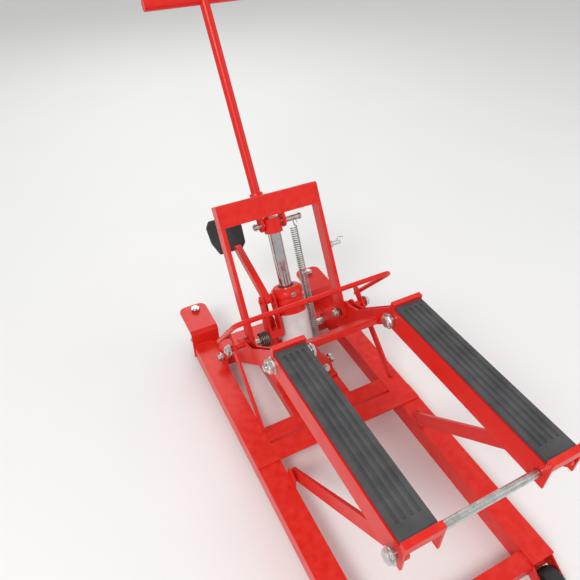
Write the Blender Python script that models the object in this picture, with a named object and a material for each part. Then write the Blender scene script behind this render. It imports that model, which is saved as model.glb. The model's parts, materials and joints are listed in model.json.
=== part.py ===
"""Hydraulic motorcycle and ATV lift jack, at rest with its platform raised.

Lengths are in millimetres and scaled by MM where a mesh is made. +X is the machine's width, -Y its front
(the platform end), +Z up, and the wheels stand on Z = 0. Most outlines are drawn in the Y, Z plane and
extruded along X, because every pivot of the linkage is parallel to X.
"""

import math

import bmesh
import bpy
from mathutils import Matrix, Vector

MM = 0.001
GAP = 0.3  # clearance between pieces that touch
FORWARD_SHIFT = 116.0  # moves the drawing's Y so that the machine's box is centred on the origin

# Base
RAIL_IN, RAIL_OUT = 141.0, 187.0
RAIL_LOW, RAIL_TOP = 25.0, 65.0
RAIL_REAR, RAIL_FRONT = 150.0, -575.0
RAIL_WALL = 3.0
JACK_BAR_TOP = 60.0  # of the two bars between the cross beams that carry the jack

# Pivots, as (Y, Z)
REAR_PIVOT = (68.0, 90.0)
SADDLE_REAR = (-205.0, 330.0)
ARM_PITCH = 333.0  # front arms stand this far in front of the rear arms
FRONT_PIVOT = (REAR_PIVOT[0] - ARM_PITCH, REAR_PIVOT[1])
SADDLE_FRONT = (SADDLE_REAR[0] - ARM_PITCH, SADDLE_REAR[1])
GATE_FOOT = (-14.0, 186.0)
LOCK_PIVOT = (-24.5, 203.0)

# Jack: its axis starts at JACK_FOOT and leans back
JACK_FOOT = (-41.0, 88.0)
JACK_TILT = math.radians(25.75)
RAM_R, TANK_R = 13.5, 33.0
TANK_TOP = 190.0  # along the jack's axis from its foot
RAM_PIN_T = 323.8
PUMP_X, PUMP_N = -50.0, -14.0
PEDAL_T, PEDAL_N = 175.4, 9.1

# Gate
GATE_TILT = math.radians(30.4)
GATE_HALF = 110.0
GATE_LEG = 8.0  # thickness across X
GATE_TOP = 284.0
BAR_BOTTOM = 240.0

# Arms and platform
ARM_IN, ARM_OUT = 111.0, 129.0
ARM_HALF = 16.0
BAR_IN, BAR_OUT = 132.0, 138.0
SADDLE_IN, SADDLE_OUT = 85.0, 145.0
SADDLE_TOP, SADDLE_LOW = 352.0, 310.0
SADDLE_BACK, SADDLE_NOSE = -196.0, -552.0
PAD_THICK = 6.0

# Lock bar
STRIP_IN, STRIP_OUT = 147.0, 151.0
STRIP_SLOPE = math.radians(40.2)
STRIP_LEG, STRIP_TAIL, STRIP_HALF = 165.0, 30.0, 9.0
BAIL_X, BAIL_R = 164.0, 5.0
BAIL_TOP = (-93.0, 330.0)
BAIL_END = (49.0, 154.0)

# Wheels
CASTER = (154.0, 224.0)
CASTER_PLATE_TOP = 105.0
CASTER_WHEEL_R, CASTER_TRAIL = 36.0, 22.0
FORK_HALF = 20.0  # half of the fork over its cheeks
FRONT_WHEEL_R, FRONT_WHEEL_Y = 28.0, -604.0

# Handle
HANDLE_TILT = math.radians(33.0)
HANDLE_POINT = (175.0, 408.0)
HANDLE_R = 10.0
GRIP_Y = 388.0
GRIP_R = 12.0

ROUND = 24  # sides of a round piece
FINE = 16  # sides of a pin or hole

COLOURS = {
    "red_paint": ((0.66, 0.012, 0.012), 0.35, 0.0),
    "zinc": ((0.62, 0.62, 0.60), 0.32, 1.0),
    "chrome": ((0.75, 0.75, 0.76), 0.12, 1.0),
    "rubber": ((0.035, 0.037, 0.04), 0.8, 0.0),
    "spring_steel": ((0.5, 0.5, 0.5), 0.3, 1.0),
}


def clear_scene():
    for obj in list(bpy.data.objects):
        bpy.data.objects.remove(obj)


def make_materials():
    made = {}
    for name, (colour, roughness, metallic) in COLOURS.items():
        material = bpy.data.materials.new(name)
        material.use_nodes = True
        shader = material.node_tree.nodes["Principled BSDF"]
        shader.inputs["Base Color"].default_value = (*colour, 1.0)
        shader.inputs["Roughness"].default_value = roughness
        shader.inputs["Metallic"].default_value = metallic
        made[name] = material
    return made


def make_body(name, y, z, x=0.0):
    """An empty on a joint's axis; the pieces of that moving body are its children."""
    empty = bpy.data.objects.new(name, None)
    empty.location = Vector((x, y + FORWARD_SHIFT, z)) * MM
    bpy.context.scene.collection.objects.link(empty)
    return empty


def add(name, mesh_maker, body, material):
    """Makes an object from a bmesh drawn in the machine's millimetres, and hangs it on its body."""
    shape = bmesh.new()
    mesh_maker(shape)
    bmesh.ops.recalc_face_normals(shape, faces=shape.faces)
    mesh = bpy.data.meshes.new(name)
    shape.to_mesh(mesh)
    shape.free()
    to_metres = Matrix.Translation(-body.location) @ Matrix.Scale(MM, 4) @ Matrix.Translation(
        (0, FORWARD_SHIFT, 0)
    )
    mesh.transform(to_metres)
    mesh.materials.append(material)
    mesh.shade_smooth()
    mesh.set_sharp_from_angle(angle=math.radians(35))
    obj = bpy.data.objects.new(name, mesh)
    obj.parent = body
    bpy.context.scene.collection.objects.link(obj)
    return obj


def prism(outline, x0, x1):
    """A (Y, Z) outline extruded from x0 to x1."""

    def make(shape):
        face = shape.faces.new([shape.verts.new((x0, y, z)) for y, z in outline])
        made = bmesh.ops.extrude_face_region(shape, geom=[face])
        moved = [v for v in made["geom"] if isinstance(v, bmesh.types.BMVert)]
        bmesh.ops.translate(shape, verts=moved, vec=(x1 - x0, 0, 0))

    return make


def flat_prism(outline, z0, z1):
    """An (X, Y) outline extruded from z0 to z1."""

    def make(shape):
        face = shape.faces.new([shape.verts.new((x, y, z0)) for x, y in outline])
        made = bmesh.ops.extrude_face_region(shape, geom=[face])
        moved = [v for v in made["geom"] if isinstance(v, bmesh.types.BMVert)]
        bmesh.ops.translate(shape, verts=moved, vec=(0, 0, z1 - z0))

    return make


def slab(corners, thickness):
    """A flat outline of points in space, extruded by the vector thickness."""

    def make(shape):
        face = shape.faces.new([shape.verts.new(corner) for corner in corners])
        made = bmesh.ops.extrude_face_region(shape, geom=[face])
        moved = [v for v in made["geom"] if isinstance(v, bmesh.types.BMVert)]
        bmesh.ops.translate(shape, verts=moved, vec=thickness)

    return make


def block(x0, x1, y0, y1, z0, z1):
    return prism([(y0, z0), (y1, z0), (y1, z1), (y0, z1)], x0, x1)


def turned(profile, origin, direction, sides=ROUND):
    """A (radius, distance) profile turned about the line from origin along direction. It starts and ends on
    the axis, or closes on itself for a ring."""
    axis = Vector(direction).normalized()
    frame = axis.to_track_quat("Z", "X").to_matrix().to_4x4()
    place = Matrix.Translation(origin) @ frame

    def make(shape):
        rings = []
        for radius, distance in profile:
            count = 1 if radius == 0 else sides
            turn = [2 * math.pi * i / sides for i in range(count)]
            rings.append(
                [
                    shape.verts.new(place @ Vector((radius * math.cos(a), radius * math.sin(a), distance)))
                    for a in turn
                ]
            )
        closed = profile[0][0] != 0
        pairs = list(zip(rings, rings[1:] + rings[:1])) if closed else list(zip(rings, rings[1:]))
        for low, high in pairs:
            for i in range(sides):
                after = i + 1
                corners = [low[i % len(low)], low[after % len(low)]]
                corners += [high[after % len(high)], high[i % len(high)]]
                kept = list(dict.fromkeys(corners))
                if len(kept) > 2:
                    shape.faces.new(kept)

    return make


def rod(origin, direction, length, radius, sides=ROUND):
    return turned([(0, 0), (radius, 0), (radius, length), (0, length)], origin, direction, sides)


def pin(y, z, x0, x1, radius, sides=FINE):
    return rod((x0, y, z), (1, 0, 0), x1 - x0, radius, sides)


def bent_rod(name, points, radius, body, material):
    """A round bar that follows the points, as a curve with a bevel and filled caps."""
    curve = bpy.data.curves.new(name, "CURVE")
    curve.dimensions = "3D"
    curve.bevel_depth = radius * MM
    curve.bevel_resolution = 2
    curve.use_fill_caps = True
    spline = curve.splines.new("POLY")
    spline.points.add(len(points) - 1)
    for target, (x, y, z) in zip(spline.points, points):
        local = Vector((x, y + FORWARD_SHIFT, z)) * MM - body.location
        target.co = (*local, 1.0)
    curve.materials.append(material)
    obj = bpy.data.objects.new(name, curve)
    obj.parent = body
    bpy.context.scene.collection.objects.link(obj)
    return obj


def boolean(obj, shapes, operation):
    """Cuts shapes from obj, or joins them to it, with hidden helper objects on the same body."""
    for number, shape in enumerate(shapes):
        helper = add(f"{obj.name}_{operation.lower()}_{number}", shape, obj.parent, obj.data.materials[0])
        helper.hide_render = True
        helper.display_type = "WIRE"
        modifier = obj.modifiers.new(f"{operation.lower()} {number}", "BOOLEAN")
        modifier.operation = operation
        modifier.solver = "EXACT"
        modifier.object = helper
    return obj


def cut(obj, *shapes):
    return boolean(obj, shapes, "DIFFERENCE")


def join(obj, *shapes):
    return boolean(obj, shapes, "UNION")


def arc(centre, radius, start, end, steps=8):
    """Points of an arc in the Y, Z plane, from start to end in degrees."""
    return [
        (
            centre[0] + radius * math.cos(math.radians(start + (end - start) * i / steps)),
            centre[1] + radius * math.sin(math.radians(start + (end - start) * i / steps)),
        )
        for i in range(steps + 1)
    ]


def bar_outline(start, end, half):
    """A straight bar with round ends centred on its two pivots."""
    angle = math.degrees(math.atan2(end[1] - start[1], end[0] - start[0]))
    return arc(end, half, angle - 90, angle + 90) + arc(start, half, angle + 90, angle + 270)


def on_jack(along, normal=0.0):
    """(Y, Z) of a point given along the jack's axis and in front of it."""
    return (
        JACK_FOOT[0] + along * math.sin(JACK_TILT) - normal * math.cos(JACK_TILT),
        JACK_FOOT[1] + along * math.cos(JACK_TILT) + normal * math.sin(JACK_TILT),
    )


def on_gate(along, normal=0.0):
    """(Y, Z) of a point given up the gate from its foot pin and in front of its middle plane."""
    return (
        GATE_FOOT[0] + along * math.sin(GATE_TILT) - normal * math.cos(GATE_TILT),
        GATE_FOOT[1] + along * math.cos(GATE_TILT) + normal * math.sin(GATE_TILT),
    )


def on_handle(along):
    return (
        HANDLE_POINT[0] + along * math.sin(HANDLE_TILT),
        HANDLE_POINT[1] + along * math.cos(HANDLE_TILT),
    )


def sides():
    """The two sides of the machine, as a name and the sign of X."""
    return (("left", -1.0), ("right", 1.0))


def span(sign, low, high):
    """x0 and x1 of a stretch given outwards from the middle, lower value first."""
    return (low, high) if sign > 0 else (-high, -low)


JACK_DIRECTION = (0.0, math.sin(JACK_TILT), math.cos(JACK_TILT))


def make_base(body, paint, zinc):
    for side, sign in sides():
        x0, x1 = span(sign, RAIL_IN, RAIL_OUT)
        rail = add(f"{side}_base_rail", block(x0, x1, RAIL_FRONT, RAIL_REAR, RAIL_LOW, RAIL_TOP), body, paint)
        hollow = block(
            x0 + RAIL_WALL, x1 - RAIL_WALL,
            RAIL_FRONT - 5, RAIL_REAR - RAIL_WALL,
            RAIL_LOW + RAIL_WALL, RAIL_TOP - RAIL_WALL,
        )
        cut(rail, hollow)
        cheek = [(RAIL_FRONT + 1, 58), (RAIL_FRONT + 1, 30)]
        cheek += arc((FRONT_WHEEL_Y, FRONT_WHEEL_R), 10, 300, 150, 5)
        join(rail, prism(cheek, x0 + 0.1, x0 + 2.9), prism(cheek, x1 - 2.9, x1 - 0.1))
        cut(rail, pin(FRONT_WHEEL_Y, FRONT_WHEEL_R, x0 - 2, x1 + 2, 5 + GAP))
        make_caster_bracket(body, paint, side, sign)
        x0, x1 = span(sign, RAIL_IN + 0.5, RAIL_IN + 5)
        for place, (y, z), half in (("rear", REAR_PIVOT, 18.0), ("front", FRONT_PIVOT, 14.0)):
            foot = RAIL_TOP + GAP
            outline = [(y - half, foot), (y + half, foot)] + arc((y, z), half, 0, 180)
            bracket = add(f"{side}_{place}_pivot_bracket", prism(outline, x0, x1), body, paint)
            if place == "rear":
                cut(bracket, pin(y, z, *span(sign, RAIL_IN - 2, RAIL_IN + 8), 8 + GAP))
            else:
                join(bracket, pin(y, z, *span(sign, BAR_IN - 1, RAIL_IN + 2), 5))
    inner = RAIL_IN - GAP
    add("rear_arm_shaft", pin(*REAR_PIVOT, -RAIL_IN - 8, RAIL_IN + 8, 8), body, zinc)
    add("lower_crossbeam", block(-inner, inner, -165, -130, 35, RAIL_TOP), body, paint)
    add("rear_crossbeam", block(-inner, inner, 95, RAIL_REAR, RAIL_LOW, RAIL_TOP), body, paint)
    for side, sign in sides():
        x0, x1 = span(sign, 52, 68)
        add(f"{side}_jack_bar", block(x0, x1, -130 + GAP, 95 - GAP, 35, JACK_BAR_TOP), body, paint)
    flat = block(-RAIL_OUT + 1, RAIL_OUT - 1, -212, -172, RAIL_TOP + GAP, RAIL_TOP + 4.3)
    add("flat_cross_bar", flat, body, paint)
    add("front_cross_member", block(-inner, inner, RAIL_FRONT, RAIL_FRONT + 30, 30, RAIL_TOP - 5), body, paint)


def make_caster_bracket(body, paint, side, sign):
    """A plate over the swivel caster, stepped down behind the rail's end."""
    x0, x1 = span(sign, 125, 190)
    low = RAIL_REAR + GAP
    top = CASTER_PLATE_TOP
    outline = [
        (low, 28), (low + 5, 28), (low + 5, top - 9), (low + 10, top - 5),
        (247, top - 5), (247, top), (low + 8, top), (low, top - 8),
    ]
    bracket = add(f"{side}_caster_bracket", prism(outline, x0, x1), body, paint)
    for edge, inward in ((x0, 1.0), (x1, -1.0)):
        cut(bracket, flat_prism(rounding((edge, 247), inward, 16.0), top - 12, top + 5))
    cut(bracket, rod((sign * CASTER[0], CASTER[1], top - 15), (0, 0, 1), 30, 6 + GAP, FINE))


def make_jack(body, paint, steel):
    plate_low, plate_top = JACK_BAR_TOP + GAP, JACK_BAR_TOP + 4.3
    cross = add("jack_cross_member", block(-68, 68, -75, -15, plate_low, plate_top), body, paint)
    low = (on_jack(-5 - GAP, 58), on_jack(-5 - GAP, -38))
    wedge = [(-73, plate_top - 2), (-17, plate_top - 2), low[1], low[0]]
    join(cross, prism(wedge, -42, -34), prism(wedge, 34, 42))
    base = [on_jack(-5, 60), on_jack(-5, -40), on_jack(23.7, -40), on_jack(23.7, 40), on_jack(14, 60)]
    add("jack_base", prism(base, -42, 42), body, paint)
    tank = [
        (0, 24), (TANK_R, 24), (TANK_R, 164), (TANK_R - 2, 168), (TANK_R - 2, 172), (TANK_R + 1, 172),
        (TANK_R + 1, 182), (TANK_R - 6, TANK_TOP), (RAM_R + GAP, TANK_TOP), (RAM_R + GAP, 28), (0, 28),
    ]
    origin = (0, *on_jack(0))
    add("jack_tank", turned(tank, origin, JACK_DIRECTION), body, paint)
    pump_origin = (PUMP_X, *on_jack(0, PUMP_N))
    pump = [(0, 24), (13, 24), (13, 128), (10, 134), (6 + GAP, 134), (6 + GAP, 100), (0, 100)]
    add("pump_cylinder", turned(pump, pump_origin, JACK_DIRECTION, FINE), body, paint)
    ears = [
        on_jack(96, PEDAL_N + 16), on_jack(96, PEDAL_N - 6), on_jack(PEDAL_T, PEDAL_N - 12),
        on_jack(PEDAL_T + 10, PEDAL_N - 6), on_jack(PEDAL_T + 12, PEDAL_N + 4),
        on_jack(PEDAL_T + 4, PEDAL_N + 13),
    ]
    bracket = add("pump_bracket", prism(ears, PUMP_X - 15, PUMP_X + 15), body, paint)
    slot = [on_jack(112, 40), on_jack(112, -20), on_jack(200, -20), on_jack(200, 40)]
    cut(bracket, prism(slot, PUMP_X - 10, PUMP_X + 10))
    join(bracket, pin(*on_jack(PEDAL_T, PEDAL_N), PUMP_X - 18, PUMP_X + 16, 5))
    spring_origin = (50.0, *on_jack(0, PUMP_N))
    coil = [(0, 50), (9, 50), (9, 312), (0, 312)]
    add("return_spring", turned(coil, spring_origin, JACK_DIRECTION, FINE), body, steel)


def make_ram(body, paint, chrome, zinc):
    origin = (0, *on_jack(0))
    add("ram", turned([(0, 128), (RAM_R, 128), (RAM_R, 305), (0, 305)], origin, JACK_DIRECTION), body, chrome)
    profile = [(0, 305.3), (19, 305.3), (19, 333), (16, 336), (0, 336)]
    head = add("ram_head", turned(profile, origin, JACK_DIRECTION), body, paint)
    y, z = on_jack(RAM_PIN_T)
    cut(head, pin(y, z, -25, 25, 6 + GAP))
    add("cross_pin", pin(y, z, -36, 60, 6), body, zinc)


def make_gate(body, paint, zinc):
    front = [
        on_gate(BAR_BOTTOM, 15), on_gate(BAR_BOTTOM, 9), on_gate(GATE_TOP - 6, 9), on_gate(GATE_TOP - 6, -15),
        on_gate(GATE_TOP, -15), on_gate(GATE_TOP, 12), on_gate(GATE_TOP - 3, 15),
    ]
    bar = add("gate_crossbar", prism(front, -GATE_HALF, GATE_HALF), body, paint)
    pin_y, pin_z = on_jack(RAM_PIN_T)
    tilt = 90 - math.degrees(GATE_TILT)
    lug = [on_gate(GATE_TOP - 5, 11), on_gate(GATE_TOP - 5, -13)]
    lug += arc((pin_y, pin_z), 13, tilt - 90, tilt - 270)
    socket = rod((0, *on_handle(-50)), (0, math.sin(HANDLE_TILT), math.cos(HANDLE_TILT)), 52, HANDLE_R + 4)
    tongue = [on_gate(GATE_TOP - 5, -8), on_gate(GATE_TOP - 5, -46)]
    tongue += [on_gate(GATE_TOP, -46), on_gate(GATE_TOP, -8)]
    join(bar, prism(lug, -27, -21), prism(lug, 21, 27), prism(tongue, -12, 12), socket)
    cut(
        bar,
        pin(pin_y, pin_z, -30, 30, 6 + GAP),
        rod((0, *on_handle(-46)), (0, math.sin(HANDLE_TILT), math.cos(HANDLE_TILT)), 80, HANDLE_R + GAP),
    )
    inset = 0.2
    end = [
        on_gate(BAR_BOTTOM + inset, 15 - inset), on_gate(BAR_BOTTOM + inset, inset - 15),
        on_gate(GATE_TOP - inset, inset - 15), on_gate(GATE_TOP - inset, 12 - inset),
    ]
    for _, sign in sides():
        join(bar, prism(end, *span(sign, GATE_HALF - GATE_LEG, GATE_HALF - inset)))
    for side, sign in sides():
        foot = 90 - math.degrees(GATE_TILT)
        outline = [on_gate(BAR_BOTTOM - GAP, 15), on_gate(BAR_BOTTOM - GAP, -15)]
        outline += arc(GATE_FOOT, 17, foot - 90, foot - 270, 12)
        leg = add(f"gate_{side}_leg", prism(outline, *span(sign, GATE_HALF - GATE_LEG, GATE_HALF)), body, paint)
        slot = [
            (GATE_FOOT[0] + along * math.cos(GATE_TILT) + up * math.sin(GATE_TILT),
             GATE_FOOT[1] - along * math.sin(GATE_TILT) + up * math.cos(GATE_TILT))
            for along, up in ((-12, -4), (-9, -7), (9, -7), (12, -4), (12, 4), (9, 7), (-9, 7), (-12, 4))
        ]
        cut(leg, prism(slot, *span(sign, GATE_HALF - 12, GATE_HALF + 4)))
    y, z = on_gate(148)
    screw = [(0, 0), (9, 0), (9, 7), (5, 7), (5, 30), (0, 30)]
    add("gate_side_screw", turned(screw, (GATE_HALF + GAP, y, z), (1, 0, 0), FINE), body, zinc)
    direction = (0, math.sin(HANDLE_TILT), math.cos(HANDLE_TILT))
    reach = (GRIP_Y - HANDLE_POINT[0]) / math.sin(HANDLE_TILT)
    handle = add("t_handle", rod((0, *on_handle(-45)), direction, 45 + reach, HANDLE_R), body, paint)
    grip_y, grip_z = on_handle(reach)
    join(handle, pin(grip_y, grip_z, -120, 120, GRIP_R, ROUND))


def make_lift_arms(body, paint, zinc, steel):
    slope = math.atan2(SADDLE_REAR[1] - REAR_PIVOT[1], REAR_PIVOT[0] - SADDLE_REAR[0])

    def on_arm(along, above):
        return (
            REAR_PIVOT[0] - along * math.cos(slope) + above * math.sin(slope),
            REAR_PIVOT[1] + along * math.sin(slope) + above * math.cos(slope),
        )

    length = math.dist(REAR_PIVOT, SADDLE_REAR)
    angle = 180 - math.degrees(slope)
    ear = arc(LOCK_PIVOT, 14, angle - 130, angle - 20, 6)
    outline = arc(REAR_PIVOT, ARM_HALF, angle + 90, angle + 270) + [on_arm(95, ARM_HALF)] + [on_arm(112, 36)]
    outline += ear + [on_arm(190, ARM_HALF)] + arc(SADDLE_REAR, ARM_HALF, angle - 90, angle + 90)
    for side, sign in sides():
        arm = add(f"{side}_rear_arm", prism(outline, *span(sign, ARM_IN, ARM_OUT)), body, paint)
        channel = [on_arm(60, -11), on_arm(length - 40, -11), on_arm(length - 40, 60), on_arm(60, 60)]
        cut(
            arm,
            prism(channel, *span(sign, ARM_IN + 4, ARM_OUT - 4)),
            pin(*REAR_PIVOT, *span(sign, ARM_IN - 3, ARM_OUT + 3), 8 + GAP),
            pin(*GATE_FOOT, *span(sign, ARM_IN - 3, ARM_OUT + 3), 5 + GAP),
            pin(*SADDLE_REAR, *span(sign, ARM_IN - 3, ARM_OUT + 3), 6 + GAP),
        )
        join(arm, pin(*LOCK_PIVOT, *span(sign, ARM_IN + 2, STRIP_OUT + 6), 6))
        inner_end = 66.5 if side == "left" else 94
        add(f"{side}_gate_pin", pin(*GATE_FOOT, *span(sign, inner_end, ARM_OUT + 1), 5), body, zinc)
    down, up = (math.cos(slope), -math.sin(slope)), (math.sin(slope), math.cos(slope))
    edge = (-137.0, 264.0)
    rear = (edge[0] + 55 * down[0], edge[1] + 55 * down[1])
    web = [edge, (edge[0], edge[1] - 14), (edge[0] + 4, edge[1] - 14), (edge[0] + 4, edge[1] - 3.5)]
    web += [rear, (rear[0] + 4 * up[0], rear[1] + 4 * up[1]), (edge[0] + 4 * up[0], edge[1] + 4 * up[1])]
    add("arm_cross_plate", prism(web, -ARM_IN + GAP, ARM_IN - GAP), body, paint)
    ring = [(5 + GAP, 0), (17, 0), (17, 20), (5 + GAP, 20)]
    add("torsion_spring", turned(ring, (-88, *GATE_FOOT), (1, 0, 0), ROUND), body, steel)


def make_lock_bar(body, paint):
    along = (math.cos(STRIP_SLOPE), math.sin(STRIP_SLOPE))
    low = (LOCK_PIVOT[0] - STRIP_LEG * along[0], LOCK_PIVOT[1] - STRIP_LEG * along[1])
    high = (LOCK_PIVOT[0] + STRIP_TAIL * along[0], LOCK_PIVOT[1] + STRIP_TAIL * along[1])
    corner, run = 22.0, 3.0
    down = Vector((0, BAIL_END[0] - BAIL_TOP[0], BAIL_END[1] - BAIL_TOP[1]))
    leg_end = 0.8  # of the line from BAIL_TOP to BAIL_END
    for side, sign in sides():
        flat = prism(bar_outline(low, high, STRIP_HALF), *span(sign, STRIP_IN, STRIP_OUT))
        strip = add(f"lock_{side}_strip", flat, body, paint)
        cut(strip, pin(*LOCK_PIVOT, *span(sign, STRIP_IN - 3, STRIP_OUT + 3), 6 + GAP))
        top = Vector((sign * BAIL_X, *BAIL_TOP))
        start = top + down.normalized() * (corner + run + GAP)
        bent_rod(f"lock_{side}_handle_leg", [start, top + down * leg_end], BAIL_R, body, paint)
        weld = top + down * 0.665
        reach = BAIL_X - STRIP_OUT - BAIL_R + 1.6
        join(strip, rod((sign * (STRIP_OUT - 2), weld.y, weld.z), (sign, 0, 0), reach, 4, FINE))
    bend = []
    for sign in (-1.0, 1.0):
        top = Vector((sign * BAIL_X, *BAIL_TOP))
        centre = top + down.normalized() * corner - Vector((sign * corner, 0, 0))
        turn = [math.radians(15 * i) for i in range(7)]
        points = [
            centre + Vector((sign * corner * math.cos(a), 0, 0)) - down.normalized() * corner * math.sin(a)
            for a in turn
        ]
        points.insert(0, top + down.normalized() * (corner + run))
        bend += points if sign < 0 else points[::-1]
    bent_rod("lock_handle_bar", bend, BAIL_R, body, paint)


def make_platform(body, paint, rubber, zinc):
    for side, sign in sides():
        x0, x1 = span(sign, SADDLE_IN, SADDLE_OUT)
        beam = block(x0, x1, SADDLE_NOSE, SADDLE_BACK, SADDLE_LOW, SADDLE_TOP)
        saddle = add(f"{side}_saddle", beam, body, paint)
        for y0, y1 in ((SADDLE_BACK - 10, SADDLE_BACK), (SADDLE_NOSE, SADDLE_NOSE + 10)):
            join(saddle, block(x0, x1, y0, y1, SADDLE_TOP - 2, SADDLE_TOP + PAD_THICK + 6))
        cut(saddle, block(x0 + 4, x1 - 4, SADDLE_NOSE - 5, SADDLE_BACK + 5, SADDLE_LOW - 5, SADDLE_TOP - 4))
        pad_low, pad_top = SADDLE_TOP + GAP, SADDLE_TOP + PAD_THICK
        pad = block(x0 + 3, x1 - 3, SADDLE_NOSE + 10.3, SADDLE_BACK - 10.3, pad_low, pad_top)
        add(f"{side}_saddle_pad", pad, body, rubber)
        cut(saddle, pin(*SADDLE_REAR, *span(sign, SADDLE_IN - 3, SADDLE_IN + 8), 6 + GAP))
        cut(saddle, pin(*SADDLE_FRONT, *span(sign, SADDLE_IN - 3, SADDLE_OUT + 3), 6 + GAP))
        bolt = [(0, 0), (11, 0), (11, 8), (6, 8), (6, 52), (0, 52)]
        start = (sign * (SADDLE_IN - 8 - GAP), *SADDLE_REAR)
        add(f"{side}_saddle_bolt", turned(bolt, start, (sign, 0, 0), FINE), body, zinc)
    add("saddle_front_shaft", pin(*SADDLE_FRONT, -SADDLE_OUT - 6, SADDLE_OUT + 6, 6), body, zinc)


def make_front_arms(body, paint):
    for side, sign in sides():
        outline = bar_outline(FRONT_PIVOT, SADDLE_FRONT, 13)
        bar = add(f"{side}_front_arm", prism(outline, *span(sign, BAR_IN, BAR_OUT)), body, paint)
        cut(
            bar,
            pin(*FRONT_PIVOT, *span(sign, BAR_IN - 3, BAR_OUT + 3), 5 + GAP),
            pin(*SADDLE_FRONT, *span(sign, BAR_IN - 3, BAR_OUT + 3), 6 + GAP),
        )


def make_pedal(body, paint, rubber):
    pivot = on_jack(PEDAL_T, PEDAL_N)
    pad_low, pad_high = (175.0, 282.0), (222.0, 343.0)
    end = (pad_low[0] - 1, pad_low[1] + 4)
    arm = add("pedal_arm", prism(bar_outline(pivot, end, 8.5), PUMP_X - 7, PUMP_X + 7), body, paint)
    cut(arm, pin(*pivot, PUMP_X - 10, PUMP_X + 10, 5 + GAP))
    rise = Vector((pad_high[0] - pad_low[0], pad_high[1] - pad_low[1])).normalized()
    back = Vector((rise.y, -rise.x)) * 8
    outline = ((-88, 0), (-36, 0), (-25, 12), (-22, 58), (-31, 77), (-93, 77), (-102, 64), (-100, 28))
    corners = [
        (x, pad_low[0] + rise.x * up + rise.y * 9, pad_low[1] + rise.y * up - rise.x * 9) for x, up in outline
    ]
    add("pedal_pad", slab(corners, (0, back.x, back.y)), body, rubber)


def make_plunger(body, chrome):
    origin = (PUMP_X, *on_jack(0, PUMP_N))
    add("pump_plunger", turned([(0, 112), (6, 112), (6, 165), (0, 165)], origin, JACK_DIRECTION, FINE), body, chrome)


def make_valve(body, zinc):
    origin = (42 + GAP, *on_jack(9, 25))
    profile = [(0, 0), (5, 0), (5, 9), (11, 9), (11, 16), (0, 16)]
    add("release_valve", turned(profile, origin, (1, 0, 0), FINE), body, zinc)


def make_casters(forks, wheels, zinc, rubber):
    for side, sign in sides():
        x = sign * CASTER[0]
        plate = CASTER_PLATE_TOP - 5 - GAP
        axle = (CASTER[1] - CASTER_TRAIL, CASTER_WHEEL_R)
        cheek = [(CASTER[1] + 16, plate - 8), (CASTER[1] - 20, plate - 8)] + arc(axle, 10, 180, 330, 5)
        fork = add(f"{side}_caster_fork", flat_prism(circle(x, CASTER[1], 24), plate - 14, plate - 1), forks[side], zinc)
        join(
            fork,
            prism(cheek, x - FORK_HALF, x - FORK_HALF + 3.5),
            prism(cheek, x + FORK_HALF - 3.5, x + FORK_HALF),
            pin(*axle, x - 22, x + 22, 4),
            rod((x, CASTER[1], plate - 4), (0, 0, 1), 21, 6, FINE),
            rod((x, CASTER[1], CASTER_PLATE_TOP + GAP), (0, 0, 1), 8, 10, 6),
        )
        outer = CASTER_WHEEL_R
        tread = [(4 + GAP, -13), (outer - 3, -13), (outer, -9), (outer, 9), (outer - 3, 13), (4 + GAP, 13)]
        add(f"{side}_caster_wheel", turned(tread, (x, *axle), (1, 0, 0)), wheels[side], rubber)


def rounding(corner, inward, radius):
    """What is cut from a plate's rear corner to round it, as an (X, Y) outline."""
    x, y = corner
    turn = [math.radians(15 * i) for i in range(7)]
    curve = [(x + inward * radius * (1 - math.cos(a)), y - radius * (1 - math.sin(a))) for a in turn]
    return curve + [(x + inward * radius, y + 3), (x - inward * 3, y + 3), (x - inward * 3, y - radius)]


def circle(x, y, radius, count=ROUND):
    turn = [2 * math.pi * i / count for i in range(count)]
    return [(x + radius * math.cos(a), y + radius * math.sin(a)) for a in turn]


def make_front_wheels(base, wheels, zinc, rubber):
    for side, sign in sides():
        x = sign * (RAIL_IN + RAIL_OUT) / 2
        axle = (FRONT_WHEEL_Y, FRONT_WHEEL_R)
        outer = FRONT_WHEEL_R
        profile = [(5 + GAP, -13), (outer - 2, -13), (outer, -10), (outer, 10), (outer - 2, 13), (5 + GAP, 13)]
        add(f"{side}_front_wheel", turned(profile, (x, *axle), (1, 0, 0)), wheels[side], rubber)
    add("front_axle", pin(FRONT_WHEEL_Y, FRONT_WHEEL_R, -RAIL_OUT, RAIL_OUT, 5), base, zinc)


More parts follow.
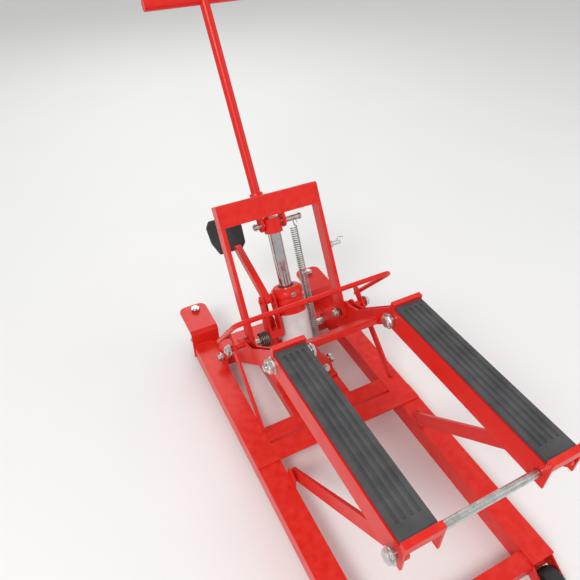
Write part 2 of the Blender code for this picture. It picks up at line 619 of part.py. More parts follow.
def main():
    clear_scene()
    made = make_materials()
    paint, zinc, chrome = made["red_paint"], made["zinc"], made["chrome"]
    rubber, steel = made["rubber"], made["spring_steel"]
    base = make_body("base", 0, 0)
    make_base(base, paint, zinc)
    make_jack(base, paint, steel)
    make_ram(make_body("ram_body", *on_jack(RAM_PIN_T)), paint, chrome, zinc)
    make_gate(make_body("gate_body", *on_jack(RAM_PIN_T)), paint, zinc)
    make_lift_arms(make_body("lift_arms_body", *REAR_PIVOT), paint, zinc, steel)
    make_lock_bar(make_body("lock_bar_body", *LOCK_PIVOT), paint)
    make_platform(make_body("platform_body", *SADDLE_REAR), paint, rubber, zinc)
    make_front_arms(make_body("front_arms_body", *FRONT_PIVOT), paint)
    make_pedal(make_body("pedal_body", *on_jack(PEDAL_T, PEDAL_N)), paint, rubber)
    make_plunger(make_body("plunger_body", *on_jack(140, PUMP_N)), chrome)
    make_valve(make_body("valve_body", *on_jack(9, 25)), zinc)
    forks, rear, front = {}, {}, {}
    for side, sign in sides():
        forks[side] = make_body(f"{side}_caster_swivel", CASTER[1], 0, sign * CASTER[0])
        rear[side] = make_body(f"{side}_caster_axle", CASTER[1] - CASTER_TRAIL, CASTER_WHEEL_R)
        front[side] = make_body(f"{side}_front_axle", FRONT_WHEEL_Y, FRONT_WHEEL_R)
    make_casters(forks, rear, zinc, rubber)
    make_front_wheels(base, front, zinc, rubber)


main()
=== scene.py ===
"""The looks of a hydraulic motorcycle lift jack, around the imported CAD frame, in metres.

+X is the machine's width, -Y its front, where the platform is, and +Z is up. Every welded or machined CAD
piece is shown by a copy with rounded edges and a procedural material. The jack's tank and ram, the springs,
pads, wheels, fasteners and weld beads, and the jack's label are modelled here.
"""

import json
import math

import bmesh
import bpy
from mathutils import Matrix, Vector

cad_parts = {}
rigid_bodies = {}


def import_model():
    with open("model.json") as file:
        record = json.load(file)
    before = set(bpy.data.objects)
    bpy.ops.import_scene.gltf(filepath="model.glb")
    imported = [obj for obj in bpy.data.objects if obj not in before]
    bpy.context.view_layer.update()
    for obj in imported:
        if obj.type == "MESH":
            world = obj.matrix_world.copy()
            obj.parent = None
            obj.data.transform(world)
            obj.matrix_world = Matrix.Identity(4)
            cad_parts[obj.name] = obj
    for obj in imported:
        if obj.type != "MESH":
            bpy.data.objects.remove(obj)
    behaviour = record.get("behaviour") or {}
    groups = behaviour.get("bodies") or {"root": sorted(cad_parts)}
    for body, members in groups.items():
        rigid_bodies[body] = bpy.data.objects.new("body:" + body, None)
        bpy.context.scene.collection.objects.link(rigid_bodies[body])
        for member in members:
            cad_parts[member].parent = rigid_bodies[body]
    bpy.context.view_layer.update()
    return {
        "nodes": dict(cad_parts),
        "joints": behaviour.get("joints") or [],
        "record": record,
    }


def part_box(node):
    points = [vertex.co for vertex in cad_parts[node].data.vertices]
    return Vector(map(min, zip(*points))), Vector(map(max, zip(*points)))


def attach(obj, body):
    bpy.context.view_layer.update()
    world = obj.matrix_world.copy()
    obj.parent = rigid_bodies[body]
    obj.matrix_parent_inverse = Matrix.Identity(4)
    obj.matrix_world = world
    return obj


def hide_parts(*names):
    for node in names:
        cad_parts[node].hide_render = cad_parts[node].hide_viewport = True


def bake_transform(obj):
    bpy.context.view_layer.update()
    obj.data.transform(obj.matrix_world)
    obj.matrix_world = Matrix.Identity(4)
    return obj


SIDES = (("left", -1.0), ("right", 1.0))  # with the sign of their X
ACROSS = Vector((1, 0, 0))

EDGE_RADIUS = 0.0009  # of a sheared or cast edge
EDGE_ANGLE = math.radians(33)  # faces that meet at more than this have a sharp edge between them
WIRE_ANGLE = math.radians(60)  # the same for a wire, whose section has few sides
WIRE_SIDES = 8
WELDED = 0.00001  # vertices closer than this are one
GAP = 0.0002  # between a washer and the face behind it
FLOOR_DROP = 0.0003  # keeps the floor clear of the wheels

# Jack: lengths run along its axis from its foot
JACK_TILT = math.radians(25.75)
JACK_AXIS = Vector((0, math.sin(JACK_TILT), math.cos(JACK_TILT)))
JACK_FRONT = Vector((0, -math.cos(JACK_TILT), math.sin(JACK_TILT)))
JACK_SIDES = 96  # round the tank
PIN_LENGTH = 0.3238  # to the pin in the ram's head
TANK_RADIUS = 0.033
TANK_TOP = 0.190
RAM_RADIUS = 0.0135
RAM_LOW, RAM_HIGH = 0.128, 0.305
RAM_SIDES = 64

# Return spring, beside the jack
SPRING_SIDE, SPRING_BACK = 0.050, 0.014  # from the jack's axis
SPRING_LOW, SPRING_LENGTH = 0.056, 0.246
SPRING_RADIUS, SPRING_TURNS, SPRING_WIRE = 0.0074, 54, 0.00105
EYE_GAP = 0.004  # from the coil's end to its eye
TOP_EYE, LOW_EYE = 0.0088, 0.006  # radii

# Torsion spring, round the left gate pin
TORSION_RADIUS, TORSION_TURNS, TORSION_WIRE = 0.0152, 4, 0.0017
TORSION_MARGIN = 0.002  # from the coil's ends to the ends of the node's box

# Saddle pads
PAD_RIBS = 5
PAD_GROOVE = 0.0032
PAD_NOSE, PAD_HEEL = 0.022, 0.012  # flat margins in front and behind
PAD_RAMP = 0.0005  # length over which a groove reaches its depth

# Pedal pad
PEDAL_RISE = Vector((0, 47, 61)).normalized()  # up the pad's face
PEDAL_NORMAL = Vector((0, -PEDAL_RISE.z, PEDAL_RISE.y))  # out of its upper face
TREAD_BARS = 6
TREAD_PITCH, TREAD_LENGTH, TREAD_RADIUS = 0.0115, 0.066, 0.0015
TREAD_HEIGHT = 0.0041  # of a bar's middle over the middle of the pad

# Wheels
WHEEL_WIDTH = 0.026
WHEELS = (("caster", 0.036, 0.0045), ("front", 0.028, 0.0055))  # kind, radius, radius of the bore
CASTER_AXLE_HALF = 0.0221  # from a caster wheel's middle to the washer on its axle

WASHER_THICK = 0.0016
THREAD_PITCH = 0.0013
WELD_PROUD = 0.0004  # of a bead's middle over the edge that it runs along

CAMERA_PLACE = Vector((-0.380, -0.625, 0.981))
CAMERA_RIGHT = Vector((0.891519, -0.452888, -0.009257))
CAMERA_DOWN = Vector((-0.298588, -0.572162, -0.763856))
CAMERA_LENS = 33.557

UNSTRETCHED = (1, 1, 1)
LENGTHWISE = (1, 1, 0.05)  # streaks that run along Z

FLOOR_HALF = 14
LIGHTS = (  # name, place, size, power
    ("key_light", (-1.6, -1.4, 2.4), 0.9, 44),
    ("fill_light", (2.2, -1.0, 1.6), 1.8, 12),
    ("back_light", (0.4, 2.4, 2.0), 1.4, 18),
)
LIGHT_AIM = Vector((0, 0, 0.2))


# ---- materials ----


def new_material(name, colour, roughness, metallic=0.0, coat=0.0, specular=0.5):
    material = bpy.data.materials.new(name)
    material.use_nodes = True
    tree = material.node_tree
    shader = tree.nodes["Principled BSDF"]
    shader.inputs["Base Color"].default_value = (*colour, 1)
    shader.inputs["Roughness"].default_value = roughness
    shader.inputs["Metallic"].default_value = metallic
    shader.inputs["Coat Weight"].default_value = coat
    shader.inputs["Coat Roughness"].default_value = 0.12
    shader.inputs["Specular IOR Level"].default_value = specular
    return material, tree, shader


def noise(tree, scale, detail=4.0, stretch=UNSTRETCHED):
    """Noise in object coordinates, in metres, stretched along an axis by a factor below 1."""
    place = tree.nodes.new("ShaderNodeTexCoord")
    mapping = tree.nodes.new("ShaderNodeMapping")
    mapping.inputs["Scale"].default_value = stretch
    texture = tree.nodes.new("ShaderNodeTexNoise")
    texture.inputs["Scale"].default_value = scale
    texture.inputs["Detail"].default_value = detail
    tree.links.new(place.outputs["Object"], mapping.inputs["Vector"])
    tree.links.new(mapping.outputs["Vector"], texture.inputs["Vector"])
    return texture.outputs["Fac"]


def spread(tree, value, low, high, bottom=0.35, top=0.65):
    """value, from bottom to top, spread over low to high. Most of a noise lies between 0.35 and 0.65."""
    remap = tree.nodes.new("ShaderNodeMapRange")
    remap.inputs["From Min"].default_value = bottom
    remap.inputs["From Max"].default_value = top
    remap.inputs["To Min"].default_value = low
    remap.inputs["To Max"].default_value = high
    tree.links.new(value, remap.inputs["Value"])
    return remap.outputs["Result"]


def patches(tree, scale):
    """Soft patches, from 0 to 1."""
    return spread(tree, noise(tree, scale), 0, 1)


def blend_colours(tree, value, first, second):
    """first where value is 0 and second where it is 1. The first may be another node's colour."""
    mix = tree.nodes.new("ShaderNodeMix")
    mix.data_type = "RGBA"
    if isinstance(first, bpy.types.NodeSocket):
        tree.links.new(first, mix.inputs["A"])
    else:
        mix.inputs["A"].default_value = (*first, 1)
    mix.inputs["B"].default_value = (*second, 1)
    tree.links.new(value, mix.inputs["Factor"])
    return mix.outputs["Result"]


def bump(tree, shader, height, distance):
    node = tree.nodes.new("ShaderNodeBump")
    node.inputs["Distance"].default_value = distance
    tree.links.new(height, node.inputs["Height"])
    tree.links.new(node.outputs["Normal"], shader.inputs["Normal"])


def edge_highlight_mask(tree):
    """The mask of the painted highlight: 1 on sharp outer edges, broken up by patches, and 0 elsewhere."""
    geometry = tree.nodes.new("ShaderNodeNewGeometry")
    sharp = spread(tree, geometry.outputs["Pointiness"], 0, 1, bottom=0.53, top=0.62)
    product = tree.nodes.new("ShaderNodeMath")
    product.operation = "MULTIPLY"
    product.use_clamp = True
    tree.links.new(sharp, product.inputs[0])
    tree.links.new(patches(tree, 60), product.inputs[1])
    return product.outputs["Value"]


def powder_coat():
    """Glossy red powder coat: orange peel, slight cloudiness, and a painted highlight, a paler red, along
    sharp edges.
    """
    name, red = "red_powder_coat", (0.68, 0.014, 0.008)
    material, tree, shader = new_material(name, red, 0.30, coat=0.08, specular=0.28)
    cloud = blend_colours(tree, patches(tree, 9), (0.675, 0.0128, 0.0076), (0.685, 0.0138, 0.0082))
    # painted highlight: sharp outer edges are painted a paler red
    colour = blend_colours(tree, edge_highlight_mask(tree), cloud, (0.80, 0.045, 0.026))
    tree.links.new(colour, shader.inputs["Base Color"])
    tree.links.new(spread(tree, noise(tree, 30), 0.29, 0.38), shader.inputs["Roughness"])
    bump(tree, shader, noise(tree, 700, 2), 0.00008)
    return material


def plated(name, low, high, roughness, stretch=UNSTRETCHED):
    """Plated or drawn metal, with fine streaks and a patchy sheen."""
    material, tree, shader = new_material(name, high, roughness, metallic=1.0)
    colour = blend_colours(tree, patches(tree, 70), low, high)
    tree.links.new(colour, shader.inputs["Base Color"])
    rough = spread(tree, noise(tree, 400, 3, stretch), roughness * 0.7, roughness * 1.4)
    tree.links.new(rough, shader.inputs["Roughness"])
    bump(tree, shader, noise(tree, 900, 3, stretch), 0.00004)
    return material


def rubbery(name, dark, light, grain, depth):
    """Moulded rubber, dusty in patches, with a matt grain."""
    material, tree, shader = new_material(name, dark, 0.75)
    colour = blend_colours(tree, patches(tree, 25), dark, light)
    tree.links.new(colour, shader.inputs["Base Color"])
    tree.links.new(spread(tree, noise(tree, 90), 0.62, 0.86), shader.inputs["Roughness"])
    bump(tree, shader, noise(tree, grain, 3), depth)
    return material


def label_film():
    """A plain pale satin film with faint scuffs and no lettering."""
    material, tree, shader = new_material("label_grey", (0.66, 0.66, 0.65), 0.35)
    colour = blend_colours(tree, patches(tree, 35), (0.60, 0.60, 0.59), (0.72, 0.72, 0.71))
    tree.links.new(colour, shader.inputs["Base Color"])
    bump(tree, shader, noise(tree, 200), 0.00006)
    return material


def floor_material():
    """A pale studio floor."""
    material, tree, shader = new_material("floor", (0.86, 0.86, 0.85), 0.6)
    tree.links.new(spread(tree, noise(tree, 4), 0.5, 0.7), shader.inputs["Roughness"])
    return material


def make_materials():
    """The materials by slot."""
    return {
        "red_powder_coat": powder_coat(),
        "zinc_plate": plated("zinc_plate", (0.52, 0.52, 0.50), (0.72, 0.72, 0.70), 0.28),
        "hard_chrome": plated("hard_chrome", (0.50, 0.50, 0.51), (0.62, 0.62, 0.63), 0.14, LENGTHWISE),
        "spring_zinc": plated("spring_zinc", (0.26, 0.26, 0.255), (0.48, 0.48, 0.47), 0.3),
        "dark_spring_steel": plated("dark_spring_steel", (0.09, 0.085, 0.08), (0.2, 0.19, 0.18), 0.35),
        "saddle_rubber": rubbery("saddle_rubber", (0.048, 0.048, 0.051), (0.075, 0.075, 0.078), 900, 0.00012),
        "black_rubber": rubbery("black_rubber", (0.026, 0.027, 0.029), (0.042, 0.043, 0.045), 1100, 0.0001),
        "wheel_rubber": rubbery("wheel_rubber", (0.014, 0.014, 0.015), (0.028, 0.028, 0.03), 700, 0.0001),
        "label_grey": label_film(),
    }


# ---- places ----


def middle_of(node):
    """The middle of a node's box."""
    low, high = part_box(node)
    return (low + high) / 2


def face_x(node, sign):
    """The X where a node's box ends, on the side with that sign."""
    low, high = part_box(node)
    return high.x if sign > 0 else low.x


def end_of(node, sign):
    """The middle of a node's end face, on the side with that sign."""
    middle = middle_of(node)
    return Vector((face_x(node, sign), middle.y, middle.z))


def joint_place(name):
    return next(Vector(joint["pos_m"]) for joint in frame["joints"] if joint["name"] == name)


def jack_point(length, x=0.0, forward=0.0):
    """The point at this length along the jack, x to its right and forward in front of its axis."""
    return JACK_ORIGIN + JACK_AXIS * length + ACROSS * x + JACK_FRONT * forward


# ---- pieces ----


def finish_piece(obj, body, slot, replaced=()):
    """Gives a piece its material and its moving body, and hides the CAD nodes that it stands for."""
    obj.data.materials.clear()
    obj.data.materials.append(MATERIALS[slot])
    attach(obj, body)
    if replaced:
        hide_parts(*replaced)
    return obj


def mesh_object(name, shape, angle=EDGE_ANGLE):
    bmesh.ops.recalc_face_normals(shape, faces=shape.faces)
    mesh = bpy.data.meshes.new(name)
    shape.to_mesh(mesh)
    shape.free()
    mesh.shade_smooth()
    mesh.set_sharp_from_angle(angle=angle)
    obj = bpy.data.objects.new(name, mesh)
    bpy.context.scene.collection.objects.link(obj)
    return obj


def round_edges(obj, width):
    modifier = obj.modifiers.new("rounded edges", "BEVEL")
    modifier.width = width
    modifier.segments = 2
    modifier.limit_method = "ANGLE"
    modifier.angle_limit = EDGE_ANGLE
    modifier.harden_normals = True
    return obj


def shell_of(node, body, slot, width=EDGE_RADIUS):
    """A copy of a CAD node whose facets are merged and whose edges are rounded. It stands for the node."""
    shape = bmesh.new()
    shape.from_mesh(frame["nodes"][node].data)
    bmesh.ops.remove_doubles(shape, verts=shape.verts, dist=WELDED)
    flat = math.radians(1)
    bmesh.ops.dissolve_limit(shape, angle_limit=flat, verts=shape.verts, edges=shape.edges)
    obj = mesh_object(node + "_finish", shape)
    round_edges(obj, width)
    return finish_piece(obj, body, slot, [node])


def placed_along(origin, direction):
    """The matrix that moves the origin to this point and turns +Z into this direction."""
    turn = direction.normalized().to_track_quat("Z", "X").to_matrix().to_4x4()
    return Matrix.Translation(origin) @ turn


def ring_of(shape, place, radius, distance, count):
    """Vertices round the axis of a place, at this distance along it."""
    angles = [2 * math.pi * i / count for i in range(count)]
    points = [Vector((radius * math.cos(a), radius * math.sin(a), distance)) for a in angles]
    return [shape.verts.new(place @ point) for point in points]


def join_rings(shape, low, high):
    """A band of faces between two rings. Either may be a single point."""
    for i in range(max(len(low), len(high))):
        quad = [low[i % len(low)], low[(i + 1) % len(low)], high[(i + 1) % len(high)], high[i % len(high)]]
        corners = list(dict.fromkeys(quad))
        if len(corners) > 2:
            shape.faces.new(corners)


def turned(name, profile, origin, direction, segments):
    """A (radius, distance) profile turned about a line. One that starts off the line is closed to a ring."""
    place = placed_along(origin, direction)
    shape = bmesh.new()
    rings = [ring_of(shape, place, r, distance, segments if r else 1) for r, distance in profile]
    if profile[0][0]:
        rings.append(rings[0])
    for low, high in zip(rings, rings[1:]):
        join_rings(shape, low, high)
    return mesh_object(name, shape)


def swept(name, points, radius):
    """A wire of one radius along the points, with closed ends, and no twist between its rings."""
    shape = bmesh.new()
    rings = []
    normal = ACROSS
    angles = [2 * math.pi * k / WIRE_SIDES for k in range(WIRE_SIDES)]
    for i, point in enumerate(points):
        tangent = (points[min(i + 1, len(points) - 1)] - points[max(i - 1, 0)]).normalized()
        normal = (normal - tangent * normal.dot(tangent)).normalized()
        other = tangent.cross(normal)
        spokes = [(normal * math.cos(a) + other * math.sin(a)) * radius for a in angles]
        rings.append([shape.verts.new(point + spoke) for spoke in spokes])
    for low, high in zip(rings, rings[1:]):
        join_rings(shape, low, high)
    shape.faces.new(rings[0][::-1])
    shape.faces.new(rings[-1])
    return mesh_object(name, shape, WIRE_ANGLE)


def hex_head(name, centre, direction, across, height):
    """A hexagon head or nut with a chamfered crown, standing on centre."""
    place = placed_along(centre, direction)
    shape = bmesh.new()
    corner = across / math.sqrt(3)
    outline = ((1.0, 0.0), (1.0, height * 0.82), (0.86, height), (0.5, height))
    rings = [ring_of(shape, place, corner * share, distance, 6) for share, distance in outline]
    for low, high in zip(rings, rings[1:]):
        join_rings(shape, low, high)
    shape.faces.new(rings[0][::-1])
    shape.faces.new(rings[-1])
    return round_edges(mesh_object(name, shape), 0.0004)


def bolt_set(name, centre, direction, body, across, height, thread=0.0):
    """A washer, a hexagon on it and, where thread is over 0, the bolt's end beyond it."""
    rim = across * 0.68
    chamfer = [(rim, WASHER_THICK * 0.8), (rim - 0.0004, WASHER_THICK)]
    washer = [(0, 0), (rim, 0), *chamfer, (0, WASHER_THICK)]
    finish_piece(turned(name + "_washer", washer, centre, direction, 32), body, "zinc_plate")
    seat = centre + direction * WASHER_THICK
    finish_piece(hex_head(name + "_hex", seat, direction, across, height), body, "zinc_plate")
    if thread:
        crest = across * 0.28
        turns = max(2, int(thread / THREAD_PITCH))
        profile = [(0, 0)]
        for i in range(turns):
            start = thread * i / turns
            profile += [(crest - 0.0005, start), (crest, start + thread / turns / 2)]
        profile += [(crest - 0.001, thread), (0, thread)]
        top = centre + direction * (WASHER_THICK + height)
        finish_piece(turned(name + "_thread", profile, top, direction, 24), body, "zinc_plate")


def weld_bead(name, start, end, radius, body):
    """A bead of overlapping weld ripples along a joint, painted over."""
    run = end - start
    ripple = radius * 0.9
    steps = 4 * max(3, int(run.length / ripple))  # four to a ripple
    tip = radius * 0.3
    profile = [(0, -tip)]
    for i in range(steps + 1):
        swell = radius * (0.86 + 0.14 * abs(math.sin(math.pi * i / 4)))
        profile.append((swell, run.length * i / steps))
    profile.append((0, run.length + tip))
    finish_piece(turned(name, profile, start, run, 12), body, "red_powder_coat")


# ---- jack ----


def make_tank():
    foot = [(0, 0.0242), (TANK_RADIUS - 0.001, 0.0242), (TANK_RADIUS, 0.0252)]
    rolled_groove = [(TANK_RADIUS, 0.136), (0.0322, 0.1375), (0.0322, 0.139), (TANK_RADIUS, 0.1405)]
    neck = [(TANK_RADIUS, 0.163), (0.031, 0.168), (0.031, 0.171)]
    cap = [(0.034, 0.1725), (0.034, 0.1815), (0.0325, 0.184), (0.027, 0.1895)]
    cap_groove = [(0.0180, TANK_TOP), (0.0172, TANK_TOP - 0.0008), (0.0165, TANK_TOP)]
    opening = [(0.0139, TANK_TOP), (0.0139, TANK_TOP - 0.004), (0, TANK_TOP - 0.004)]
    profile = foot + rolled_groove + neck + cap + cap_groove + opening
    tank = turned("jack_tank_turned", profile, JACK_ORIGIN, JACK_AXIS, JACK_SIDES)
    finish_piece(tank, "base", "red_powder_coat", ["jack_tank"])


def make_label():
    """The plain film round the tank."""
    inside, outside = TANK_RADIUS + 0.00005, TANK_RADIUS + 0.00045
    film = [(inside, 0.040), (outside, 0.0405), (outside, 0.134), (inside, 0.1345)]
    label = turned("jack_label", film, JACK_ORIGIN, JACK_AXIS, JACK_SIDES)
    finish_piece(label, "base", "label_grey")


def make_bands():
    """Two raised bands round the top of the tank."""
    inside, outside = 0.0325, 0.0341
    for number, low in enumerate((0.146, 0.160)):
        band = [(inside, low), (outside, low + 0.0008), (outside, low + 0.0026), (inside, low + 0.0034)]
        ring = turned(f"jack_ring_{number}", band, JACK_ORIGIN, JACK_AXIS, JACK_SIDES)
        finish_piece(ring, "base", "red_powder_coat")


def make_ram():
    """The chrome rod, and the wiper ring that it slides through."""
    rod = [(0, RAM_LOW), (RAM_RADIUS, RAM_LOW), (RAM_RADIUS, RAM_HIGH), (0, RAM_HIGH)]
    ram = turned("ram_rod", rod, JACK_ORIGIN, JACK_AXIS, RAM_SIDES)
    finish_piece(ram, "ram", "hard_chrome", ["ram"])
    inside, outside = 0.0140, 0.0158
    low, high = TANK_TOP - 0.0015, TANK_TOP + 0.0015
    lip = [(inside, low), (outside, low), (outside, high), (inside, high - 0.0003)]
    wiper = turned("ram_wiper", lip, JACK_ORIGIN, JACK_AXIS, RAM_SIDES)
    finish_piece(wiper, "base", "black_rubber")


def make_jack_fasteners():
    filler = jack_point(0.176, forward=0.0338)
    bolt_set("jack_filler_screw", filler, JACK_FRONT, "base", across=0.008, height=0.003)
    plug = jack_point(0.009, x=0.026, forward=0.0602)
    bolt_set("jack_base_plug", plug, JACK_FRONT, "base", across=0.012, height=0.007)
    for side, sign in SIDES:
        out = ACROSS * sign
        end = end_of("cross_pin", sign) + out * GAP
        bolt_set(f"{side}_pin_cap", end, out, "ram", across=0.011, height=0.003)


# ---- springs ----


def helix(origin, axis, across, radius, turns, length, per_turn):
    """Points along a coil about an axis. It starts on the side that across points to."""
    other = axis.cross(across)
    points = []
    for i in range(int(turns * per_turn) + 1):
        a = 2 * math.pi * i / per_turn
        rise = length * i / (turns * per_turn)
        points.append(origin + axis * rise + (across * math.cos(a) + other * math.sin(a)) * radius)
    return points


def eye(end, axis, loop, forward):
    """The return spring's way from its coil's end to the coil's middle and round an open loop about X."""
    across = axis.cross(ACROSS)
    centre = end + axis * (loop + EYE_GAP) + JACK_FRONT * forward
    curl = ((0.0015, 0.8), (0.003, 0.3))  # rise past the end, and share of the coil's radius
    points = [end + axis * rise + ACROSS * (SPRING_RADIUS * share) for rise, share in curl]
    for degrees in range(-90, 191, 20):
        a = math.radians(degrees)
        points.append(centre + (across * math.cos(a) + axis * math.sin(a)) * loop)
    return points


def make_return_spring():
    """A coil with an eye at each end, stretched between the jack's foot and the ram's pin."""
    bottom = SPRING_ORIGIN + JACK_AXIS * SPRING_LOW
    top = bottom + JACK_AXIS * SPRING_LENGTH
    coil = helix(bottom, JACK_AXIS, ACROSS, SPRING_RADIUS, SPRING_TURNS, SPRING_LENGTH, per_turn=18)
    reach = (PIN - SPRING_ORIGIN).dot(JACK_FRONT)
    hook_top = eye(top, JACK_AXIS, TOP_EYE, reach)
    hook_low = eye(bottom, -JACK_AXIS, LOW_EYE, 0.0)[::-1]
    spring = swept("return_spring_coil", hook_low + coil + hook_top, SPRING_WIRE)
    spring.data.materials.append(MATERIALS["spring_zinc"])
    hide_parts("return_spring")
    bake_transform(spring)


def make_torsion_spring():
    low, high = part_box("torsion_spring")
    start = end_of("torsion_spring", -1) + ACROSS * TORSION_MARGIN
    length = high.x - low.x - 2 * TORSION_MARGIN
    backward = Vector((0, 1, 0))
    coil = helix(start, ACROSS, backward, TORSION_RADIUS, TORSION_TURNS, length, per_turn=20)
    spring = swept("torsion_spring_coil", coil, TORSION_WIRE)
    finish_piece(spring, "lift_arms", "dark_spring_steel", ["torsion_spring"])


# ---- pads ----


def pad_section(low, high):
    """Across a saddle pad: each X with whether it is on a rib or at the bottom of a groove."""
    wide, narrow = PAD_GROOVE * 0.8, PAD_GROOVE * 0.5
    section = [(low, True)]
    for rib in range(1, PAD_RIBS):
        x = low + (high - low) * rib / PAD_RIBS
        section += [(x - wide, True), (x - narrow, False), (x + narrow, False), (x + wide, True)]
    return section + [(high, True)]


def ribbed_pad(side):
    """A saddle pad with long grooves between its ribs and a flat margin at each end."""
    node = f"{side}_saddle_pad"
    low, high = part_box(node)
    section = pad_section(low.x, high.x)
    nose, heel = low.y + PAD_NOSE, high.y - PAD_HEEL
    groove_start, groove_end = low.y + (PAD_NOSE + PAD_RAMP), high.y - (PAD_HEEL + PAD_RAMP)
    deep = PAD_GROOVE * 0.7
    rows = ((low.y, 0), (nose, 0), (groove_start, deep), (groove_end, deep), (heel, 0), (high.y, 0))
    shape = bmesh.new()
    grid = []
    for y, depth in rows:
        grid.append([shape.verts.new((x, y, high.z if on_rib else high.z - depth)) for x, on_rib in section])
    for near, far in zip(grid, grid[1:]):
        for i in range(len(section) - 1):
            shape.faces.new([near[i], near[i + 1], far[i + 1], far[i]])
    border = [edge for edge in shape.edges if edge.is_boundary]
    made = bmesh.ops.extrude_edge_only(shape, edges=border)["geom"]
    for vert in made:
        if isinstance(vert, bmesh.types.BMVert):
            vert.co.z = low.z
    rim = [edge for edge in shape.edges if edge.is_boundary]
    bmesh.ops.contextual_create(shape, geom=rim)
    obj = mesh_object(f"{side}_ribbed_pad", shape)
    round_edges(obj, 0.0006)
    finish_piece(obj, "platform", "saddle_rubber", [node])


def make_pedal_pad():
    """A rounded pad with raised bars across its face."""
    shell_of("pedal_pad", "pedal", "black_rubber", 0.003)
    face = middle_of("pedal_pad") + PEDAL_NORMAL * TREAD_HEIGHT
    half = ACROSS * (TREAD_LENGTH / 2)
    for number in range(TREAD_BARS):
        middle = face + PEDAL_RISE * ((number - (TREAD_BARS - 1) / 2) * TREAD_PITCH)
        bar = swept(f"pedal_tread_{number}", [middle - half, middle, middle + half], TREAD_RADIUS)
        finish_piece(bar, "pedal", "black_rubber")


# ---- wheels ----


def make_wheel(side, kind, radius, bore):
    """A moulded wheel with a hub, a sunk web and a tread with rounded shoulders."""
    node = f"{side}_{kind}_wheel"
    hub = [(bore, 0.0), (0.010, 0.0), (0.0105, 0.002)]
    web = [(radius * 0.62, 0.0035), (radius * 0.72, 0.0008)]
    tread = [(radius - 0.003, 0.0), (radius - 0.0006, 0.0028), (radius, 0.007)]
    half = hub + web + tread
    other_half = [(r, WHEEL_WIDTH - distance) for r, distance in reversed(half)]
    start = middle_of(node) - ACROSS * (WHEEL_WIDTH / 2)
    wheel = turned(node + "_turned", half + other_half, start, ACROSS, 64)
    finish_piece(wheel, f"{side}_{kind}_roll", "wheel_rubber", [node])


def make_wheels():
    for side, sign in SIDES:
        for kind, radius, bore in WHEELS:
            make_wheel(side, kind, radius, bore)
        swivel = f"{side}_caster_swivel"
        shell_of(f"{side}_caster_fork", swivel, "zinc_plate", 0.0006)
        wheel = middle_of(f"{side}_caster_wheel")
        for way in (-1, 1):
            name, spot = f"{side}_caster_axle_{way}", wheel + ACROSS * (way * CASTER_AXLE_HALF)
            bolt_set(name, spot, ACROSS * way, swivel, across=0.010, height=0.005)
        out = ACROSS * sign
        spot = end_of("front_axle", sign) + out * GAP
        bolt_set(f"{side}_front_axle", spot, out, "base", across=0.013, height=0.002)


# ---- linkage hardware ----


def make_linkage_nuts(side, sign):
    """The nuts and bolt heads at the linkage's pivots, on one side."""
    out = ACROSS * sign
    shaft_end = end_of("rear_arm_shaft", sign) + out * (GAP / 2)
    bolt_set(f"{side}_arm_shaft_nut", shaft_end, out, "base", across=0.016, height=0.008)
    bolt = f"{side}_saddle_bolt"
    inner = end_of(bolt, -sign)
    bolt_set(f"{bolt}_head", inner, -out, "platform", across=0.021, height=0.005)
    outer = Vector((face_x(f"{side}_saddle", sign), inner.y, inner.z)) + out * GAP
    bolt_set(f"{side}_saddle_nut", outer, out, "platform", across=0.022, height=0.010, thread=0.005)
    tip = end_of("saddle_front_shaft", sign) + out * GAP
    bolt_set(f"{side}_front_saddle_nut", tip, out, "platform", across=0.018, height=0.006)
    lock = joint_place("lock_bar_swing")
    end = Vector((face_x(f"{side}_rear_arm", sign), lock.y, lock.z)) + out * (GAP / 2)
    bolt_set(f"{side}_lock_nut", end, out, "lift_arms", across=0.017, height=0.007, thread=0.003)


def make_hardware():
    for side, sign in SIDES:
        make_linkage_nuts(side, sign)
    head = end_of("right_gate_pin", -1) - ACROSS * GAP
    bolt_set("right_gate_pin_head", head, -ACROSS, "lift_arms", across=0.015, height=0.006)
    hole = end_of("gate_side_screw", 1) + Vector((-0.006, 0.001, 0))
    shares = [i / 4 for i in range(5)]
    clip = [hole + Vector((0.014 * t, 0.010 * math.sin(3 * t), 0.008 * t)) for t in shares]
    finish_piece(swept("gate_screw_clip", clip, 0.0011), "gate", "zinc_plate")
    foot = end_of("gate_side_screw", -1)
    bolt_set("gate_side_nut", foot, ACROSS, "gate", across=0.015, height=0.008)


# ---- welds ----


def make_welds():
    """Beads where the linkage's and the base's plates are welded on."""
    for side, sign in SIDES:
        low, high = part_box(f"{side}_base_rail")
        y, z = high.y + WELD_PROUD, high.z + WELD_PROUD
        start, end = Vector((low.x + 0.003, y, z)), Vector((high.x - 0.003, y, z))
        weld_bead(f"{side}_bracket_weld", start, end, 0.0024, "base")
        for place in ("rear", "front"):
            bracket = f"{side}_{place}_pivot_bracket"
            low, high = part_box(bracket)
            x, z = face_x(bracket, sign), low.z + WELD_PROUD
            start, end = Vector((x, low.y + 0.003, z)), Vector((x, high.y - 0.003, z))
            weld_bead(f"{side}_{place}_bracket_weld", start, end, 0.0018, "base")
        for number, beam in enumerate(("lower_crossbeam", "rear_crossbeam", "front_cross_member")):
            low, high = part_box(beam)
            x = face_x(beam, sign)
            start, end = Vector((x, low.y + 0.004, high.z)), Vector((x, high.y - 0.004, high.z))
            weld_bead(f"{side}_cross_weld_{number}", start, end, 0.002, "base")
        low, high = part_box("arm_cross_plate")
        x = face_x("arm_cross_plate", sign)
        start = Vector((x, low.y + 0.007, high.z - 0.004))
        end = Vector((x, high.y - 0.004, low.z + 0.007))
        weld_bead(f"{side}_cross_plate_weld", start, end, 0.0018, "lift_arms")


# ---- carried-over nodes ----


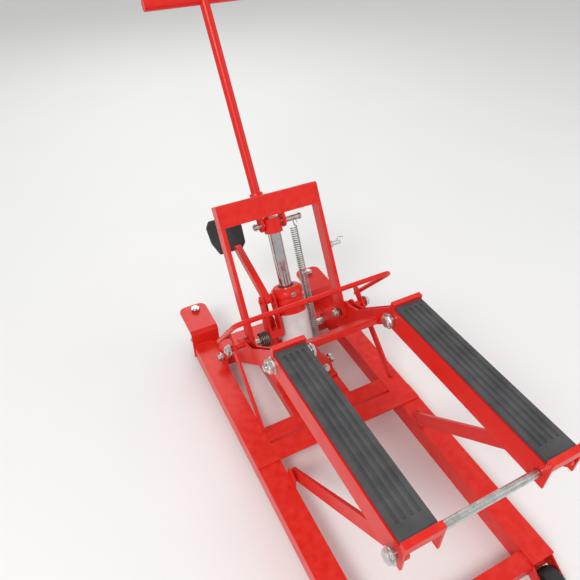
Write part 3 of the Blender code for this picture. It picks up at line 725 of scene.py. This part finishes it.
def remade_nodes():
    """The nodes that have a piece of their own in the sections above."""
    parts = ("saddle_pad", "caster_wheel", "front_wheel", "caster_fork")
    nodes = {"jack_tank", "ram", "return_spring", "torsion_spring", "pedal_pad"}
    return nodes | {f"{side}_{part}" for side, _ in SIDES for part in parts}


def make_shells():
    """Every other CAD node is shown by its rounded copy."""
    remade = remade_nodes()
    slots = {row["node"]: row["material_slot"] for row in frame["record"]["subparts"]}
    for body, members in frame["record"]["behaviour"]["bodies"].items():
        for node in members:
            if node not in remade:
                shell_of(node, body, slots[node])


# ---- stage ----


def make_stage():
    shape = bmesh.new()
    bmesh.ops.create_grid(shape, x_segments=1, y_segments=1, size=FLOOR_HALF)
    floor = mesh_object("floor", shape)
    floor.location.z = -FLOOR_DROP
    floor.data.materials.append(floor_material())
    world = bpy.data.worlds.new("studio")
    bpy.context.scene.world = world
    world.use_nodes = True
    background = world.node_tree.nodes["Background"]
    background.inputs["Color"].default_value = (1, 1, 1, 1)
    background.inputs["Strength"].default_value = 0.6
    for name, place, size, power in LIGHTS:
        light = bpy.data.lights.new(name, "AREA")
        light.energy = power
        light.size = size
        lamp = bpy.data.objects.new(name, light)
        lamp.location = place
        lamp.rotation_euler = (LIGHT_AIM - lamp.location).to_track_quat("-Z", "Y").to_euler()
        bpy.context.scene.collection.objects.link(lamp)
    bpy.context.scene.view_settings.view_transform = "Standard"


def make_camera():
    data = bpy.data.cameras.new("camera")
    data.lens = CAMERA_LENS
    data.sensor_width = 36
    data.clip_start = 0.01
    camera = bpy.data.objects.new("camera", data)
    backward = CAMERA_DOWN.cross(CAMERA_RIGHT)
    turn = Matrix((CAMERA_RIGHT, -CAMERA_DOWN, backward)).transposed().to_4x4()
    camera.matrix_world = Matrix.Translation(CAMERA_PLACE) @ turn
    bpy.context.scene.collection.objects.link(camera)
    bpy.context.scene.camera = camera


for startup in list(bpy.data.objects):
    bpy.data.objects.remove(startup)
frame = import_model()
PIN = joint_place("gate_tilt")
JACK_ORIGIN = PIN - JACK_AXIS * PIN_LENGTH
SPRING_ORIGIN = JACK_ORIGIN + ACROSS * SPRING_SIDE - JACK_FRONT * SPRING_BACK
MATERIALS = make_materials()
make_camera()
make_stage()
make_shells()
make_tank()
make_label()
make_bands()
make_ram()
make_jack_fasteners()
make_return_spring()
make_torsion_spring()
for pad_side, _ in SIDES:
    ribbed_pad(pad_side)
make_pedal_pad()
make_wheels()
make_hardware()
make_welds()
